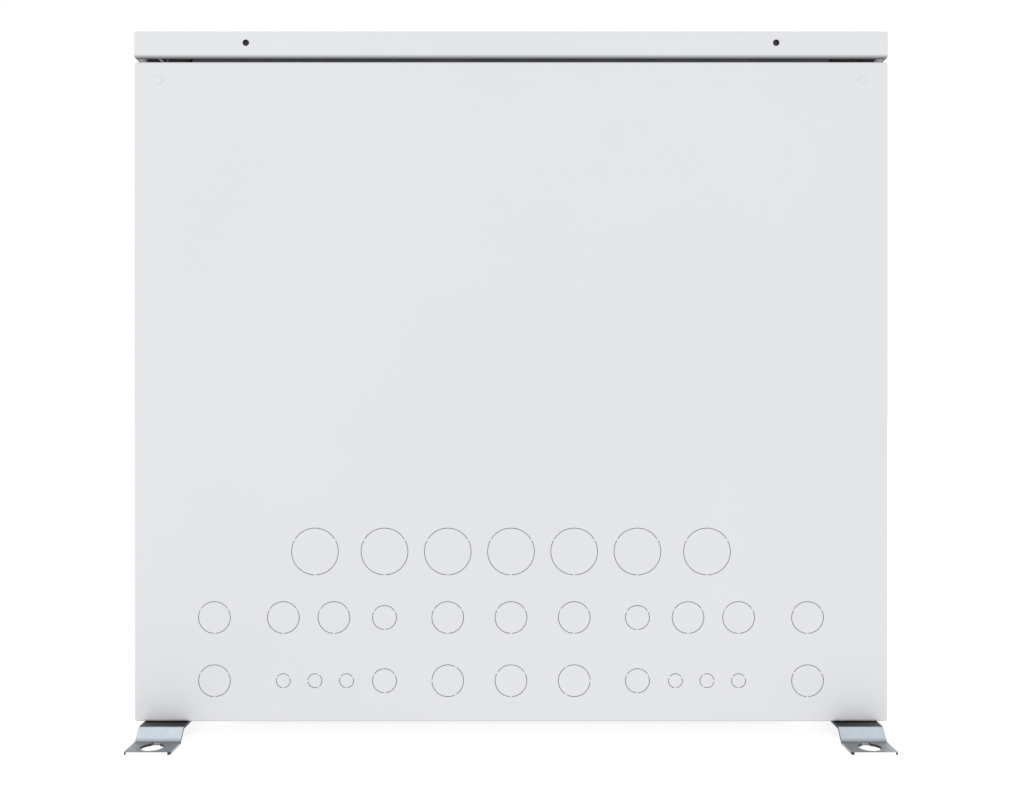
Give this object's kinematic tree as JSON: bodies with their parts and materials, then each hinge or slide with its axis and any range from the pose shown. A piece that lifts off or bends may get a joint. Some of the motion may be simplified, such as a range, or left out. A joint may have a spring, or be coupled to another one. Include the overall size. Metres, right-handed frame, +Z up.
{
  "type": "underfloor heating manifold",
  "caption": "White sheet-metal cabinet on four keyhole feet with a lid, knock-outs in its rear panel and a hinged door, holding an underfloor heating manifold with flow meters and valves.",
  "frame": {"origin": "on the floor, in the middle of the space that the four feet stand in", "axes": "+Z up, -Y towards the knock-out panel, +Y towards the door, +X to the right when looking at the knock-out panel"},
  "size_m": [0.5974, 0.251, 0.5573],
  "materials": {
    "white_paint": "fine satin powder coat",
    "zinc_steel": "bright zinc plate",
    "bolt_steel": "zinc plated",
    "dark_steel": "black oxide",
    "black_rubber": "matt",
    "chrome": "polished",
    "stainless": "drawn tube",
    "nickel": "satin nickel on brass",
    "polished_ball": "polished",
    "brass": "turned",
    "dial": "printed dial in a grey case",
    "clear_plastic": "clear moulding",
    "red_plastic": "moulded",
    "blue_plastic": "moulded",
    "black_plastic": "moulded"
  },
  "bodies": {
    "root": {"rear_panel": "white_paint", "side_panel_left": "white_paint", "side_panel_right": "white_paint", "floor_plate": "zinc_steel", "top_frame": "zinc_steel", "lid": "white_paint", "lid_buffers": "black_rubber", "lid_screws": "dark_steel", "panel_rivets": "white_paint", "foot_rear_left": "zinc_steel", "foot_rear_right": "zinc_steel", "foot_front_left": "zinc_steel", "foot_front_right": "zinc_steel", "foot_bolts": "bolt_steel", "hinge_pins": "bolt_steel", "rail_left": "zinc_steel", "rail_right": "zinc_steel", "bracket_left": "zinc_steel", "bracket_right": "zinc_steel", "clamp_straps": "zinc_steel", "clamp_linings": "black_rubber", "bracket_bolts": "bolt_steel", "pipe_guide_rail": "zinc_steel", "supply_bar": "stainless", "return_bar": "stainless", "supply_connectors": "nickel", "return_connectors": "nickel", "valve_body_supply": "nickel", "valve_body_return": "nickel", "end_piece_supply": "nickel", "end_piece_return": "nickel", "union_nuts": "nickel", "thermometers": "dial", "flow_meter_bases": "brass", "sight_tubes": "clear_plastic", "valve_inserts": "brass"},
    "door": {"door_panel": "white_paint", "door_knuckles": "white_paint", "lock_barrel": "chrome"},
    "lock": {"lock_plug": "chrome", "lock_cam": "bolt_steel"},
    "lever_supply": {"valve_ball_supply": "polished_ball", "valve_handle_supply": "red_plastic"},
    "vent_supply": {"vent_knob_supply": "black_plastic"},
    "drain_supply": {"drain_knob_supply": "black_plastic"},
    "lever_return": {"valve_ball_return": "polished_ball", "valve_handle_return": "blue_plastic"},
    "vent_return": {"vent_knob_return": "black_plastic"},
    "drain_return": {"drain_knob_return": "black_plastic"},
    "ring_1": {"flow_ring_1": "red_plastic"},
    "cap_1": {"valve_cap_1": "blue_plastic"},
    "ring_2": {"flow_ring_2": "red_plastic"},
    "cap_2": {"valve_cap_2": "blue_plastic"},
    "ring_3": {"flow_ring_3": "red_plastic"},
    "cap_3": {"valve_cap_3": "blue_plastic"},
    "ring_4": {"flow_ring_4": "red_plastic"},
    "cap_4": {"valve_cap_4": "blue_plastic"},
    "ring_5": {"flow_ring_5": "red_plastic"},
    "cap_5": {"valve_cap_5": "blue_plastic"},
    "floats": {"flow_floats": "red_plastic"}
  },
  "joints": [
    {"name": "door_swing", "type": "hinge", "parent": "root", "child": "door", "pos_m": [0.29175, 0.068, 0.272], "axis": [0, 0, -1], "range_deg": [0, 110]},
    {"name": "lock_turn", "type": "hinge", "parent": "door", "child": "lock", "pos_m": [-0.26225, 0.07, 0.272], "axis": [0, 1, 0], "range_deg": [0, 90]},
    {"name": "lever_supply_turn", "type": "hinge", "parent": "root", "child": "lever_supply", "pos_m": [-0.172, -0.042, 0.389], "axis": [0, 1, 0], "range_deg": [0, 90]},
    {"name": "vent_supply_turn", "type": "hinge", "parent": "root", "child": "vent_supply", "pos_m": [0.202, -0.042, 0.419], "axis": [0, 0, 1], "range_deg": [0, 540]},
    {"name": "drain_supply_turn", "type": "hinge", "parent": "root", "child": "drain_supply", "pos_m": [0.202, -0.002, 0.389], "axis": [0, 1, 0], "range_deg": [0, 720]},
    {"name": "lever_return_turn", "type": "hinge", "parent": "root", "child": "lever_return", "pos_m": [-0.172, -0.006, 0.179], "axis": [0, 1, 0], "range_deg": [0, 90]},
    {"name": "vent_return_turn", "type": "hinge", "parent": "root", "child": "vent_return", "pos_m": [0.202, -0.006, 0.209], "axis": [0, 0, 1], "range_deg": [0, 540]},
    {"name": "drain_return_turn", "type": "hinge", "parent": "root", "child": "drain_return", "pos_m": [0.202, 0.034, 0.179], "axis": [0, 1, 0], "range_deg": [0, 720]},
    {"name": "ring_1_turn", "type": "hinge", "parent": "root", "child": "ring_1", "pos_m": [-0.055, -0.042, 0.428], "axis": [0, 0, 1], "range_deg": [0, 900]},
    {"name": "cap_1_turn", "type": "hinge", "parent": "root", "child": "cap_1", "pos_m": [-0.055, -0.006, 0.22], "axis": [0, 0, 1], "range_deg": [0, 720]},
    {"name": "ring_2_turn", "type": "hinge", "parent": "root", "child": "ring_2", "pos_m": [-0.005, -0.042, 0.428], "axis": [0, 0, 1], "range_deg": [0, 900]},
    {"name": "cap_2_turn", "type": "hinge", "parent": "root", "child": "cap_2", "pos_m": [-0.005, -0.006, 0.22], "axis": [0, 0, 1], "range_deg": [0, 720]},
    {"name": "ring_3_turn", "type": "hinge", "parent": "root", "child": "ring_3", "pos_m": [0.045, -0.042, 0.428], "axis": [0, 0, 1], "range_deg": [0, 900]},
    {"name": "cap_3_turn", "type": "hinge", "parent": "root", "child": "cap_3", "pos_m": [0.045, -0.006, 0.22], "axis": [0, 0, 1], "range_deg": [0, 720]},
    {"name": "ring_4_turn", "type": "hinge", "parent": "root", "child": "ring_4", "pos_m": [0.095, -0.042, 0.428], "axis": [0, 0, 1], "range_deg": [0, 900]},
    {"name": "cap_4_turn", "type": "hinge", "parent": "root", "child": "cap_4", "pos_m": [0.095, -0.006, 0.22], "axis": [0, 0, 1], "range_deg": [0, 720]},
    {"name": "ring_5_turn", "type": "hinge", "parent": "root", "child": "ring_5", "pos_m": [0.145, -0.042, 0.428], "axis": [0, 0, 1], "range_deg": [0, 900]},
    {"name": "cap_5_turn", "type": "hinge", "parent": "root", "child": "cap_5", "pos_m": [0.145, -0.006, 0.22], "axis": [0, 0, 1], "range_deg": [0, 720]},
    {"name": "floats_rise", "type": "slide", "parent": "root", "child": "floats", "axis": [0, 0, 1], "range_m": [0, 0.018]}
  ]
}
